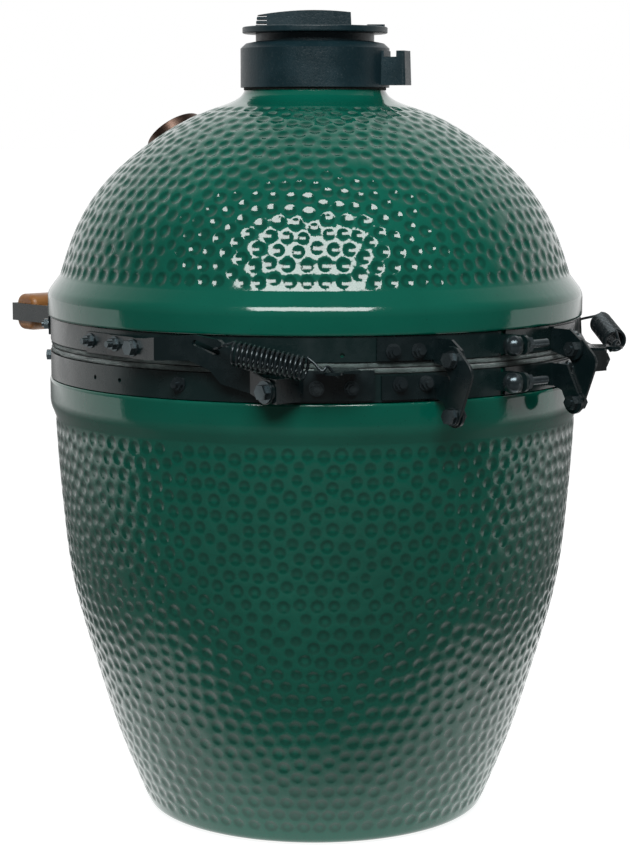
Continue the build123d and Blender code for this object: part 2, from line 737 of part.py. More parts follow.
# ---------------------------------------------------------------- thermometer
def make_thermometer():
    stem = thermometer_plane()
    case_r = 32.0
    with BuildPart() as case:
        disc(stem, 7, 2, 12)
        disc(stem, 9, 11, case_r)
        disc(stem, 11, 10, case_r - 2.5, mode=Mode.SUBTRACT)
        disc(stem, 0.6, 6.6, 7.0)
        disc(stem, -62, 62.8, 3.2)
        fillet(case.edges().filter_by(GeomType.CIRCLE).group_by(lambda e: e.radius)[-1], 1.0)
    save(case.part, "thermometer_case")
    with BuildPart() as dial:
        disc(stem, 11.1, 1.0, case_r - 2.6)
        disc(stem, 12.1, 2.4, 1.6)
    save(dial.part, "thermometer_dial")
    with BuildPart() as needle:
        with BuildSketch(stem.offset(13.1)):
            Circle(3.2)
            with BuildLine():
                Polyline((-22 * 0.7071, 22 * 0.7071), (-1.8, -1.4), (1.4, 1.8), close=True)
            make_face()
            Circle(1.66, mode=Mode.SUBTRACT)
        extrude(amount=0.8)
    save(needle.part, "thermometer_needle")
    with BuildPart() as lens:
        disc(stem, 17.2, 1.8, case_r - 2.6)
    save(lens.part, "thermometer_lens")
    with BuildPart() as clip:
        disc(stem, -28.5, 2.0, 11)
        disc(stem, -29, 3, 3.3, mode=Mode.SUBTRACT)
    save(clip.part, "thermometer_clip")


# ---------------------------------------------------------------- cap
def make_cap():
    wall_r = 72.4
    shoulder = CAP_Z + 39.0
    neck_r = 60.0
    with BuildPart() as collar:
        with BuildSketch(Plane.XZ):
            with BuildLine():
                Polyline(
                    (wall_r, CAP_Z), (CAP_R, CAP_Z), (CAP_R, shoulder), (70, shoulder + 5.0),
                    (neck_r, shoulder + 7.0), (neck_r, DISC_Z - 0.4), (18, DISC_Z - 0.4), (18, DISC_Z - 6),
                    (52, DISC_Z - 6), (54, shoulder), (wall_r, shoulder - 4), (wall_r, CAP_Z),
                )
            make_face()
        revolve(axis=Axis.Z)
        with BuildSketch(Plane.XY.offset(DISC_Z - 6)):
            Circle(20)
        extrude(amount=5.6)
        # lug on the side, with a notch in its top
        lug = radial_plane(LUG_TURN, CAP_R - 3, CAP_Z)
        with BuildSketch(Plane(origin=(0, 0, CAP_Z + 2), x_dir=lug.z_dir, z_dir=(0, 0, 1))):
            with Locations((CAP_R + 8, 0)):
                RectangleRounded(32, 24, 3)
        extrude(amount=34, taper=2)
        with BuildSketch(Plane(origin=(0, 0, CAP_Z + 30), x_dir=lug.z_dir, z_dir=(0, 0, 1))):
            with Locations((CAP_R + 8, 0)):
                Rectangle(13, 40)
        extrude(amount=8, mode=Mode.SUBTRACT)
        with BuildSketch(Plane.XY.offset(CAP_Z - 1)):
            Circle(wall_r)
        extrude(amount=shoulder - CAP_Z - 3, mode=Mode.SUBTRACT)
        with BuildSketch(Plane.XY.offset(DISC_Z - 8)):
            with PolarLocations(VENT_R, VENT_COUNT):
                SlotOverall(24, 15, rotation=90)
            Circle(2.55)
        extrude(amount=10, mode=Mode.SUBTRACT)
    save(collar.part, "cap_collar")
    with BuildPart() as seal:
        ring(70.3, wall_r - 0.1, CAP_Z - 2.5, CAP_Z + 26)
    save(seal.part, "cap_seal")


def make_damper():
    along = Plane(
        origin=(0, 0, DISC_Z), x_dir=(sin(radians(LEVER_TURN)), cos(radians(LEVER_TURN)), 0), z_dir=(0, 0, 1)
    )
    side = Plane(origin=(0, 0, DISC_Z), x_dir=along.x_dir, z_dir=along.x_dir.cross(Vector(0, 0, 1)))
    lever_half = 14.0
    disc_t = 6.5
    top = 23.0
    with BuildPart() as damper:
        with BuildSketch(Plane.XY.offset(DISC_Z)):
            Circle(DISC_R)
            with PolarLocations(VENT_R, VENT_COUNT, start_angle=180 / VENT_COUNT):
                SlotOverall(24, 15, rotation=90, mode=Mode.SUBTRACT)
        extrude(amount=disc_t)
        fillet(damper.edges().filter_by(GeomType.CIRCLE).group_by(lambda e: e.radius)[-1], 1.5)
        with BuildSketch(side.offset(-lever_half)):
            with BuildLine():
                Line((LEVER[1] + 1, 0.5), (LEVER[1], top - 2))
                ThreePointArc((LEVER[1], top - 2), (-8, top), (LEVER[0] + 3, top - 5))
                Line((LEVER[0] + 3, top - 5), (LEVER[0], 0.5))
                Line((LEVER[0], 0.5), (LEVER[1] + 1, 0.5))
            make_face()
        extrude(amount=2 * lever_half)
        # grip ribs at the outer end of the lever
        for i in range(3):
            with BuildSketch(side.offset(-lever_half - 1)):
                with Locations((LEVER[0] - 0.5, 9.2 + 4.0 * i)):
                    Rectangle(26, 1.6)
            extrude(amount=2 * lever_half + 2, mode=Mode.SUBTRACT)
        with BuildSketch(along.offset(disc_t - 0.5)):
            with Locations((DISC_R - 12, 0)):
                RectangleRounded(18, 22, 4)
        extrude(amount=3)
        with BuildSketch(along.offset(-1)):
            Circle(2.55)
        extrude(amount=40, mode=Mode.SUBTRACT)
    save(damper.part, "cap_damper")
    with BuildPart() as screw:
        base = Plane.XY.offset(DISC_Z)
        disc(base, -9.5, 9.5 + top + 0.1, 2.5)
        hex_slice(base, -12.5, 6.2, 8.0)
    save(screw.part, "cap_screw")


# ---------------------------------------------------------------- draft door
def make_draft_door():
    front = Plane.XZ.offset(DOOR_SEAT + 0.1)
    half_x, half_z = 74.0, 31.0
    with BuildPart() as frame:
        with BuildSketch(front):
            with Locations((0, DOOR_MID_Z)):
                RectangleRounded(2 * half_x, 2 * half_z, 4)
                RectangleRounded(2 * DRAFT_HALF_X - 4, 2 * DRAFT_HALF_Z - 4, 4, mode=Mode.SUBTRACT)
        extrude(amount=1.2)
        for side in (-1, 1):
            with BuildSketch(front):
                with Locations((0, DOOR_MID_Z + side * (half_z - 3.5))):
                    Rectangle(2 * half_x, 7)
            extrude(amount=9.0)
        # one groove for the screen and one for the door
        for y0, y1 in ((1.6, 3.4), (4.6, 6.6)):
            with BuildSketch(front.offset(y0)):
                with Locations((0, DOOR_MID_Z)):
                    Rectangle(2 * half_x + 2, 2 * half_z - 6)
            extrude(amount=y1 - y0, mode=Mode.SUBTRACT)
        with BuildSketch(front.offset(-1)):
            with GridLocations(2 * half_x - 14, 0.001, 2, 1):
                with Locations((0, DOOR_MID_Z)):
                    Circle(2.55)
        extrude(amount=4, mode=Mode.SUBTRACT)
    save(frame.part, "draft_frame")
    plate_half_z = half_z - 3.5
    with BuildPart() as door:
        with BuildSketch(front.offset(4.9)):
            with Locations((0, DOOR_MID_Z)):
                Rectangle(2 * DRAFT_HALF_X + 8, 2 * plate_half_z)
        extrude(amount=1.4)
        with BuildSketch(front.offset(6.3)):
            with Locations((-DRAFT_HALF_X + 4, DOOR_MID_Z)):
                RectangleRounded(7, 30, 3)
        extrude(amount=9)
    save(door.part, "draft_door")
    with BuildPart() as screen:
        with BuildSketch(front.offset(1.9)):
            with Locations((0, DOOR_MID_Z)):
                Rectangle(2 * DRAFT_HALF_X + 8, 2 * plate_half_z)
                with GridLocations(7.0, 6.6, 11, 6):
                    Circle(2.3, mode=Mode.SUBTRACT)
        extrude(amount=1.2)
    save(screen.part, "draft_screen")
    with BuildPart() as screws:
        for x in (-half_x + 7, half_x - 7):
            at = Plane(origin=front.from_local_coords((x, DOOR_MID_Z, 1.25)), z_dir=(0, -1, 0))
            disc(at, -1.2, 1.2, 2.5)
            disc(at, 0, 0.001 + 0.25, 4.6)
    save(screws.part, "draft_frame_screws")


# ---------------------------------------------------------------- build
def main():
    make_base_shell()
    make_dome_shell()
    make_fire_box()
    make_fire_ring()
    make_fire_grate()
    make_cooking_grid()
    make_gaskets()
    stud = 3.05
    hole = 2.2
    both = (1, -1)
    upper_studs = [(s * az, 497.0, stud) for s in both for az in (25.8, 20.6)]
    upper_studs += [(s * 92.9, 498.0, stud) for s in both]
    upper_studs += [(s * az, HANDLE_Z, stud) for s in both for az in (131.5, 143.0)]
    upper_holes = [(s * 35.7, 494.0, hole) for s in both]
    lower_studs = [(s * az, 466.5, stud) for s in both for az in (24.4, 19.0)]
    lower_studs += [(s * az, 463.7, stud) for s in both for az in (40.7, 34.0)]
    lower_studs += [(s * 68.9, 464.2, stud) for s in both]
    lower_studs += [(s * 131.0, 468.0, stud) for s in both]
    lower_holes = [(s * az, 463.0, hole) for s in both for az in (92.2, 84.2)]
    make_band("upper_band", *UPPER_BAND, UPPER_CLAMP_Z, upper_studs, upper_holes)
    make_band("lower_band", *LOWER_BAND, LOWER_CLAMP_Z, lower_studs, lower_holes)
    make_clamp_bolt("upper_clamp", UPPER_CLAMP_Z)
    make_clamp_bolt("lower_clamp", LOWER_CLAMP_Z)
    upper_ear = ((250, 488), (250, 508), (283, 508), (296, 499), (298, 488), (290, 479.5), (280, 481))
    lower_ear = ((250, 452.5), (250, 474), (279, 474), (297, 441), (292, 428.5), (284, 428.5), (273, 449), (262, 452.5))
    make_rear_bracket("upper_bracket", 488.2, 509.5, 16.5, 29.0, upper_ear, PIVOT_C, (25.8, 20.6), 497.0)
    make_rear_bracket("lower_bracket", 452.2, 474.5, 16.5, 28.0, lower_ear, PIVOT_D, (24.4, 19.0), 466.5)
    make_side_bracket()
    make_side_lug()
    make_rear_link()
    make_side_arm()
    make_spring()
    make_pivot_bolts()
    make_plate_bolts()
    make_handle()
    make_thermometer()
    make_cap()
    make_damper()
    make_draft_door()


main()
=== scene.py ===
import json
import math

import bmesh
import bpy
import numpy as np
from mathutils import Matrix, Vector, kdtree, noise
from mathutils.geometry import delaunay_2d_cdt


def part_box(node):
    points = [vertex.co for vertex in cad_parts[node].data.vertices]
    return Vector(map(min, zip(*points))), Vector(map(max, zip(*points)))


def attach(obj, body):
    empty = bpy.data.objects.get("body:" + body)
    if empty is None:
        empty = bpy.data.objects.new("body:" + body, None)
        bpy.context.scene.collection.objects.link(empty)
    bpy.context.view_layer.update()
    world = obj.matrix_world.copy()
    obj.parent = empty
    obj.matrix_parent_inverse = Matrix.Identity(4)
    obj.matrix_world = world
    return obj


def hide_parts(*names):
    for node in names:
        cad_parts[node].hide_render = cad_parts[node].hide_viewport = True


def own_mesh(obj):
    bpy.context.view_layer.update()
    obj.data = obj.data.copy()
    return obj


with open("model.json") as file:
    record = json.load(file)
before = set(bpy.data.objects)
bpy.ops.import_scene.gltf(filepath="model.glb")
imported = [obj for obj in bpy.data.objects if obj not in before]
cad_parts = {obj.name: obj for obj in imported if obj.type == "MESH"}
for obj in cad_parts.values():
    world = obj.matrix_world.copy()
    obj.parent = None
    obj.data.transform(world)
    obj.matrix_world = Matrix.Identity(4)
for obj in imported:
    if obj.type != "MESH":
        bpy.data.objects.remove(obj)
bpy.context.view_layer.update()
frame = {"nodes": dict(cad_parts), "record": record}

# Lengths are in millimetres up to the moment a mesh is made, which is in metres.
MM = 0.001
TURN = 2 * math.pi
SEGMENTS = 288

DIMPLE_PITCH = 16.2
DIMPLE_DEPTH = 1.75
BASE_DIMPLE_DEPTH = 1.35
DIMPLE_JITTER = 0.27


# ---------------------------------------------------------------- shader maths
class Value:
    """A shader socket. Sums and products of it add Math nodes."""

    def __init__(self, finish, socket):
        self.finish = finish
        self.socket = socket

    def _math(self, operation, left, right):
        return self.finish.node("ShaderNodeMath", {"operation": operation}, {0: left, 1: right})

    def __add__(self, other):
        return self._math("ADD", self, other)

    def __radd__(self, other):
        return self._math("ADD", other, self)

    def __sub__(self, other):
        return self._math("SUBTRACT", self, other)

    def __rsub__(self, other):
        return self._math("SUBTRACT", other, self)

    def __mul__(self, other):
        return self._math("MULTIPLY", self, other)

    def __rmul__(self, other):
        return self._math("MULTIPLY", other, self)


class Finish:
    """One material: a Principled shader and the nodes that vary it over the surface."""

    def __init__(self, name, **sockets):
        self.material = bpy.data.materials.new(name)
        self.material.use_nodes = True
        self.tree = self.material.node_tree
        self.shader = self.tree.nodes["Principled BSDF"]
        self.place = self.node("ShaderNodeTexCoord", output="Object")
        for name, value in sockets.items():
            self.set(name.replace("_", " ").title().replace("Ior", "IOR"), value)

    def node(self, kind, settings=None, inputs=None, output=0):
        made = self.tree.nodes.new(kind)
        for key, value in (settings or {}).items():
            setattr(made, key, value)
        for key, value in (inputs or {}).items():
            self.feed(made.inputs[key], value)
        return Value(self, made.outputs[output])

    def feed(self, socket, value):
        if isinstance(value, Value):
            self.tree.links.new(value.socket, socket)
        elif isinstance(value, tuple) and len(value) == 3 and socket.type == "RGBA":
            socket.default_value = (*value, 1)
        else:
            socket.default_value = value

    def set(self, name, value):
        self.feed(self.shader.inputs[name], value)

    def stretched(self, scale):
        return self.node("ShaderNodeMapping", None, {"Vector": self.place, "Scale": scale})

    def along(self, way):
        settings = {"operation": "DOT_PRODUCT"}
        return self.node("ShaderNodeVectorMath", settings, {0: self.place, 1: way}, output="Value")

    def noise(self, scale, detail=3.0, roughness=0.55, where=None):
        inputs = {"Scale": scale, "Detail": detail, "Roughness": roughness}
        inputs["Vector"] = where or self.place
        return self.node("ShaderNodeTexNoise", None, inputs)

    def cells(self, scale):
        return self.node("ShaderNodeTexVoronoi", None, {"Vector": self.place, "Scale": scale})

    def between(self, value, low, high, to_low=0.0, to_high=1.0):
        inputs = {0: value, 1: low, 2: high, 3: to_low, 4: to_high}
        return self.node("ShaderNodeMapRange", {"clamp": True}, inputs)

    def mix(self, factor, first, second):
        settings = {"data_type": "RGBA"}
        return self.node("ShaderNodeMix", settings, {0: factor, 6: first, 7: second}, output=2)

    def bump(self, height, strength, distance):
        self.set("Normal", self.node(
            "ShaderNodeBump", None, {"Height": height, "Strength": strength, "Distance": distance},
        ))


# ---------------------------------------------------------------- finishes
def green_glaze():
    """Dark green glass glaze over clay, with painted shade: a darker ring on the slopes of the dimples,
    the ridges left lighter.
    """
    made = Finish("green_glaze", roughness=0.1, coat_weight=0.35, coat_roughness=0.03)
    made.shader.inputs["Specular IOR Level"].default_value = 0.38
    pit = made.node("ShaderNodeAttribute", {"attribute_name": "pit"}, output="Fac")
    cloud = made.noise(9.0, 3.0)
    drift = made.noise(2.2, 2.0)
    speck = made.between(made.noise(420.0, 2.0, 0.6), 0.66, 0.74)
    thin = (0.0024, 0.092, 0.061)
    deep = (0.0014, 0.068, 0.045)
    tone = made.mix(made.between(cloud + drift * 0.8, 0.6, 1.2), thin, deep)
    # painted shade: darkens the mid-slope of every dimple, strongest halfway down the pit
    tone = made.mix(pit * (1 - pit) * 2.1, tone, (0.0006, 0.026, 0.017))
    made.set("Base Color", made.mix(speck * 0.35, tone, (0.0015, 0.022, 0.014)))
    made.set("Roughness", made.between(made.noise(30.0, 4.0), 0.3, 0.7, 0.07, 0.15))
    made.bump(made.noise(85.0, 3.0, 0.5) + made.noise(340.0, 2.0, 0.5) * 0.12, 0.22, 0.0009)
    return made.material


def bare_clay():
    """Unglazed inside of the shells and the fire clay parts, browned by smoke."""
    made = Finish("bare_clay", roughness=0.85)
    soot = made.between(made.noise(7.0, 5.0, 0.65), 0.35, 0.7)
    grog = made.between(made.noise(300.0, 3.0, 0.7), 0.55, 0.7)
    tone = made.mix(soot, (0.36, 0.29, 0.21), (0.17, 0.13, 0.1))
    made.set("Base Color", made.mix(grog * 0.5, tone, (0.08, 0.065, 0.055)))
    made.set("Roughness", made.between(soot, 0.0, 1.0, 0.78, 0.92))
    made.bump(made.noise(260.0, 5.0, 0.7), 0.35, 0.001)
    return made.material


def painted_steel(name, tone, worn, gloss, grain=0.25, shine=0.0):
    """Black powder coat on steel: fine orange peel, rubbed patches and a few pale scuffs."""
    made = Finish(name, metallic=shine, coat_weight=0.15, coat_roughness=0.2)
    made.shader.inputs["Specular IOR Level"].default_value = 0.4
    rubbed = made.between(made.noise(26.0, 5.0, 0.65), 0.45, 0.75)
    scuff = made.between(made.noise(210.0, 4.0, 0.75), 0.68, 0.76)
    colour = made.mix(rubbed * 0.7, tone, worn)
    made.set("Base Color", made.mix(scuff * 0.35, colour, tuple(3.0 * c for c in worn)))
    made.set("Roughness", made.between(rubbed + scuff * 0.4, 0.0, 1.2, gloss, gloss + 0.18))
    made.bump(made.noise(520.0, 2.0, 0.5) + scuff * -0.3, grain, 0.0004)
    return made.material


def cast_cap_iron():
    """Sand-cast iron under a thin dark coat, pebbly, with paler high spots."""
    made = Finish("cast_cap_iron", metallic=0.0, coat_weight=0.05, coat_roughness=0.3)
    made.shader.inputs["Specular IOR Level"].default_value = 0.3
    sand = made.noise(430.0, 4.0, 0.65)
    pock = made.between(made.cells(260.0), 0.0, 0.35)
    patch = made.between(made.noise(22.0, 4.0, 0.6), 0.35, 0.7)
    tone = made.mix(patch, (0.004, 0.016, 0.021), (0.009, 0.027, 0.035))
    made.set("Base Color", made.mix(made.between(sand, 0.6, 0.75) * 0.5, tone, (0.045, 0.062, 0.066)))
    made.set("Roughness", made.between(sand + patch * 0.4, 0.3, 1.0, 0.3, 0.5))
    made.bump(sand * 0.7 + pock * 0.3, 0.42, 0.0007)
    return made.material


def raw_iron():
    """Heat-greyed cast iron of the fire grate."""
    made = Finish("raw_iron", metallic=0.6)
    rust = made.between(made.noise(60.0, 5.0, 0.7), 0.5, 0.72)
    made.set("Base Color", made.mix(rust, (0.06, 0.058, 0.056), (0.12, 0.06, 0.035)))
    made.set("Roughness", made.between(rust, 0.0, 1.0, 0.55, 0.8))
    made.bump(made.noise(380.0, 4.0, 0.7), 0.5, 0.0008)
    return made.material


def bright_steel(name, tone, stain, along):
    """Brushed steel with heat tint. The brush marks are finest along the axis of largest scale."""
    made = Finish(name, metallic=1.0)
    brush = made.noise(1.0, 3.0, 0.6, made.stretched(along))
    tint = made.between(made.noise(16.0, 4.0, 0.6), 0.45, 0.75)
    made.set("Base Color", made.mix(tint * 0.8, tone, stain))
    made.set("Roughness", made.between(brush + tint * 0.3, 0.2, 1.0, 0.22, 0.42))
    made.bump(brush, 0.12, 0.0003)
    return made.material


def handle_timber():
    """Orange-brown hardwood with a fine straight grain along the bar."""
    made = Finish("handle_timber", coat_weight=0.2, coat_roughness=0.25)
    fibre = made.noise(1.0, 5.0, 0.62, made.stretched((14.0, 420.0, 420.0)))
    ring = made.noise(1.0, 2.0, 0.5, made.stretched((4.0, 75.0, 75.0)))
    pore = made.between(made.noise(1.0, 3.0, 0.7, made.stretched((60.0, 1500.0, 1500.0))), 0.6, 0.72)
    tone = made.mix(made.between(ring, 0.35, 0.65), (0.34, 0.15, 0.04), (0.23, 0.088, 0.02))
    tone = made.mix(made.between(fibre, 0.45, 0.7) * 0.6, tone, (0.15, 0.055, 0.014))
    made.set("Base Color", made.mix(pore * 0.6, tone, (0.09, 0.03, 0.01)))
    made.set("Roughness", made.between(fibre, 0.3, 0.7, 0.38, 0.55))
    made.bump(fibre - pore * 0.8, 0.3, 0.0006)
    return made.material


def grey_felt():
    """Pressed felt: mottled grey-green wool with pale and black fibres."""
    made = Finish("grey_felt", roughness=0.95, sheen_weight=0.5, sheen_roughness=0.5)
    strand = made.noise(1.0, 6.0, 0.75, made.stretched((900.0, 900.0, 1500.0)))
    mottle = made.between(made.noise(70.0, 5.0, 0.7), 0.35, 0.68)
    tone = made.mix(mottle, (0.11, 0.16, 0.15), (0.02, 0.04, 0.038))
    tone = made.mix(made.between(strand, 0.56, 0.7) * 0.8, tone, (0.34, 0.42, 0.41))
    made.set("Base Color", tone)
    made.set("Roughness", made.between(strand, 0.3, 0.7, 0.85, 1.0))
    made.bump(strand + mottle * 0.4, 0.9, 0.0016)
    return made.material


def dial_face():
    """White enamel with small brown heat stains."""
    made = Finish("dial_face", roughness=0.35)
    blot = made.between(made.noise(90.0, 4.0), 0.5, 0.75)
    made.set("Base Color", made.mix(blot * 0.4, (0.75, 0.75, 0.7), (0.42, 0.33, 0.22)))
    made.set("Roughness", made.between(blot, 0.0, 1.0, 0.3, 0.5))
    return made.material


def needle_enamel():
    made = Finish("needle_enamel")
    fade = made.between(made.noise(300.0, 3.0), 0.4, 0.7)
    made.set("Base Color", made.mix(fade, (0.5, 0.03, 0.02), (0.36, 0.025, 0.02)))
    made.set("Roughness", made.between(fade, 0.0, 1.0, 0.3, 0.45))
    return made.material


def dial_glass():
    made = Finish("dial_glass", roughness=0.03, transmission_weight=1.0, ior=1.45)
    haze = made.between(made.noise(40.0, 3.0), 0.4, 0.7)
    made.set("Base Color", made.mix(haze, (0.95, 0.97, 0.96), (0.85, 0.82, 0.74)))
    return made.material


def seal_felt():
    made = Finish("seal_felt")
    wool = made.noise(500.0, 4.0, 0.7)
    tuft = made.between(wool, 0.4, 0.7)
    made.set("Base Color", made.mix(tuft, (0.012, 0.012, 0.012), (0.05, 0.05, 0.048)))
    made.set("Roughness", made.between(wool, 0.3, 0.7, 0.85, 0.98))
    made.bump(wool, 0.5, 0.0005)
    return made.material


GLAZE = green_glaze()
CLAY = bare_clay()
BAND = painted_steel("band_coat", (0.004, 0.013, 0.013), (0.012, 0.023, 0.024), 0.24)
BRACKET = painted_steel("bracket_coat", (0.003, 0.008, 0.009), (0.01, 0.018, 0.02), 0.24)
BOLT = painted_steel("bolt_oxide", (0.035, 0.05, 0.056), (0.13, 0.16, 0.17), 0.2, 0.12, 0.75)
WIRE = painted_steel("spring_coat", (0.012, 0.02, 0.023), (0.04, 0.055, 0.06), 0.16, 0.12, 0.5)
CAST = cast_cap_iron()
IRON = raw_iron()
STEEL = bright_steel("grid_wire", (0.5, 0.49, 0.47), (0.32, 0.24, 0.17), (60.0, 60.0, 900.0))
DOOR = bright_steel("door_sheet", (0.46, 0.46, 0.45), (0.34, 0.31, 0.28), (30.0, 900.0, 900.0))
BEZEL = bright_steel("bezel_steel", (0.12, 0.085, 0.07), (0.07, 0.04, 0.028), (300.0, 300.0, 900.0))
TIMBER = handle_timber()
FELT = grey_felt()
DIAL = dial_face()
NEEDLE = needle_enamel()
GLASS = dial_glass()
SEAL = seal_felt()

SLOT_FINISH = {
    "green_glaze": GLAZE,
    "fire_clay": CLAY,
    "grid_steel": STEEL,
    "cast_iron": CAST,
    "felt": FELT,
    "seal_rubber": SEAL,
    "band_black": BAND,
    "bracket_black": BRACKET,
    "bolt_black": BOLT,
    "spring_black": WIRE,
    "handle_wood": TIMBER,
    "dial_white": DIAL,
    "needle_red": NEEDLE,
    "lens_glass": GLASS,
    "bezel_steel": BEZEL,
    "door_steel": DOOR,
}
SLOT_OF = {part["node"]: part["material_slot"] for part in frame["record"]["subparts"]}


def dress_cad_nodes():
    for name, node in frame["nodes"].items():
        finish = IRON if name == "fire_grate" else SLOT_FINISH[SLOT_OF[name]]
        node.data.materials.clear()
        node.data.materials.append(finish)


# ---------------------------------------------------------------- meshes
def face_outwards(mesh):
    shaped = bmesh.new()
    shaped.from_mesh(mesh)
    bmesh.ops.recalc_face_normals(shaped, faces=shaped.faces)
    shaped.to_mesh(mesh)
    shaped.free()


def put_in_scene(name, data):
    made = bpy.data.objects.new(name, data)
    bpy.context.scene.collection.objects.link(made)
    return made


def choose(piece):
    """Makes piece the only selected and the active object."""
    bpy.ops.object.select_all(action="DESELECT")
    piece.select_set(True)
    bpy.context.view_layer.objects.active = piece


def smooth(piece, degrees=38):
    choose(piece)
    bpy.ops.object.shade_smooth_by_angle(angle=math.radians(degrees))


def tree_of(points):
    tree = kdtree.KDTree(len(points))
    for i, p in enumerate(points):
        tree.insert(p, i)
    tree.balance()
    return tree


# ---------------------------------------------------------------- profiles
def curve_through(points, count):
    """A natural cubic curve through the (r, z) points, cut into count equal steps of chord."""
    knots = np.array(points, float)
    chord = np.hypot(*np.diff(knots, axis=0).T)
    along = np.concatenate([[0], np.cumsum(chord)])
    last = len(knots) - 1
    grid = np.zeros((last + 1, last + 1))
    side = np.zeros((last + 1, 2))
    grid[0, 0] = 1
    grid[last, last] = 1
    for i in range(1, last):
        grid[i, i - 1:i + 2] = chord[i - 1], 2 * (chord[i - 1] + chord[i]), chord[i]
        rise = (knots[i + 1] - knots[i]) / chord[i]
        side[i] = 6 * (rise - (knots[i] - knots[i - 1]) / chord[i - 1])
    bend = np.linalg.solve(grid, side)
    at = np.linspace(0, along[-1], count + 1)
    i = np.clip(np.searchsorted(along, at, side="right") - 1, 0, last - 1)
    step = chord[i][:, None]
    before = (along[i + 1] - at)[:, None]
    after = (at - along[i])[:, None]
    arch = (bend[i] * before**3 + bend[i + 1] * after**3) / (6 * step)
    line = (knots[i] / step - bend[i] * step / 6) * before
    return arch + line + (knots[i + 1] / step - bend[i + 1] * step / 6) * after


def rounded(corners, steps=5):
    """A path through (r, z, fillet) corners, each rounded by a small quadratic bow."""
    path = [Vector(corners[0][:2])]
    for before, corner, after in zip(corners, corners[1:], corners[2:]):
        here = Vector(corner[:2])
        if corner[2] == 0:
            path.append(here)
            continue
        back = Vector(before[:2]) - here
        on = Vector(after[:2]) - here
        start = here + back.normalized() * min(corner[2], back.length * 0.48)
        end = here + on.normalized() * min(corner[2], on.length * 0.48)
        for k in range(steps + 1):
            t = k / steps
            path.append(start * (1 - t) ** 2 + here * (2 * t * (1 - t)) + end * t**2)
    path.append(Vector(corners[-1][:2]))
    return [tuple(p) for p in path]


